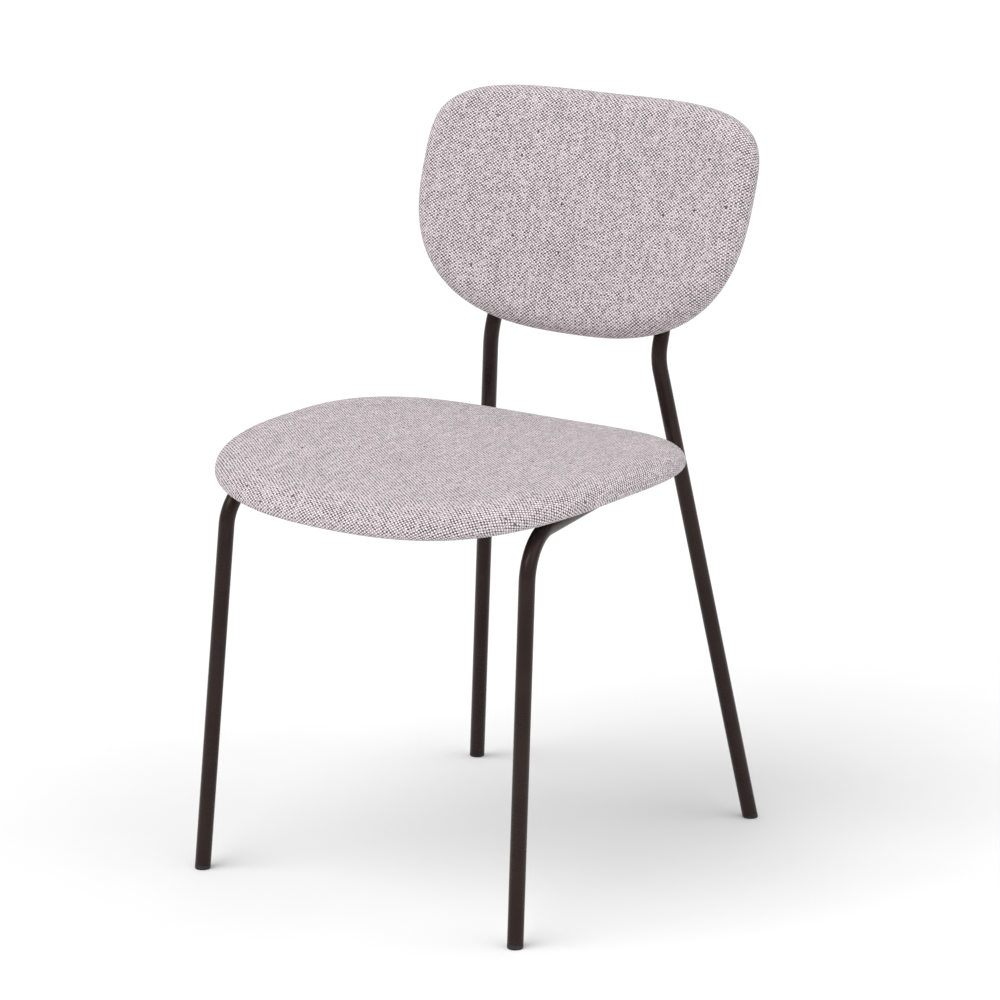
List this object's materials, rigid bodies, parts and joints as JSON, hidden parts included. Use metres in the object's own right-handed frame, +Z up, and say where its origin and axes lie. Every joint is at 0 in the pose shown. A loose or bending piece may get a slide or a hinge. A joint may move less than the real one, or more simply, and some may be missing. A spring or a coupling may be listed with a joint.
{
  "type": "dining chair",
  "caption": "Armless dining chair with a bent steel tube frame, a rounded dished seat and a curved oval backrest, both padded and covered in woven fabric.",
  "frame": {"origin": "on the floor, under the middle of the chair's whole length and width", "axes": "+Z up; the sitter faces -Y, so +Y is the rear; +X is to the right as the chair is seen from its front"},
  "size_m": [0.494, 0.558, 0.8431],
  "materials": {
    "powder_coated_steel": "satin brown-black powder coat",
    "black_plastic": "matt moulded plastic",
    "upholstery": "pale grey-pink basket weave with charcoal flecks",
    "foam": "cut polyurethane foam",
    "plywood": "plain moulded plywood",
    "zinc_steel": "zinc plated",
    "dust_felt": "black non-woven cloth"
  },
  "bodies": {
    "root": {"front_leg_left": "powder_coated_steel", "rear_post_left": "powder_coated_steel", "post_cap_left": "black_plastic", "foot_glide_front_left": "black_plastic", "foot_glide_rear_left": "black_plastic", "seat_tab_front_left": "powder_coated_steel", "seat_front_left_screw": "zinc_steel", "seat_front_left_tee_nut": "zinc_steel", "seat_tab_rear_left": "powder_coated_steel", "seat_rear_left_screw": "zinc_steel", "seat_rear_left_tee_nut": "zinc_steel", "back_lower_left_screw": "zinc_steel", "back_lower_left_tee_nut": "zinc_steel", "back_upper_left_screw": "zinc_steel", "back_upper_left_tee_nut": "zinc_steel", "front_leg_right": "powder_coated_steel", "rear_post_right": "powder_coated_steel", "post_cap_right": "black_plastic", "foot_glide_front_right": "black_plastic", "foot_glide_rear_right": "black_plastic", "seat_tab_front_right": "powder_coated_steel", "seat_front_right_screw": "zinc_steel", "seat_front_right_tee_nut": "zinc_steel", "seat_tab_rear_right": "powder_coated_steel", "seat_rear_right_screw": "zinc_steel", "seat_rear_right_tee_nut": "zinc_steel", "back_lower_right_screw": "zinc_steel", "back_lower_right_tee_nut": "zinc_steel", "back_upper_right_screw": "zinc_steel", "back_upper_right_tee_nut": "zinc_steel", "crossbar_front": "powder_coated_steel", "crossbar_rear": "powder_coated_steel", "seat_panel": "plywood", "seat_foam": "foam", "seat_cover": "upholstery", "seat_dust_cover": "dust_felt", "back_panel": "plywood", "back_foam": "foam", "back_cover": "upholstery", "back_rear_cover": "upholstery"}
  },
  "joints": []
}
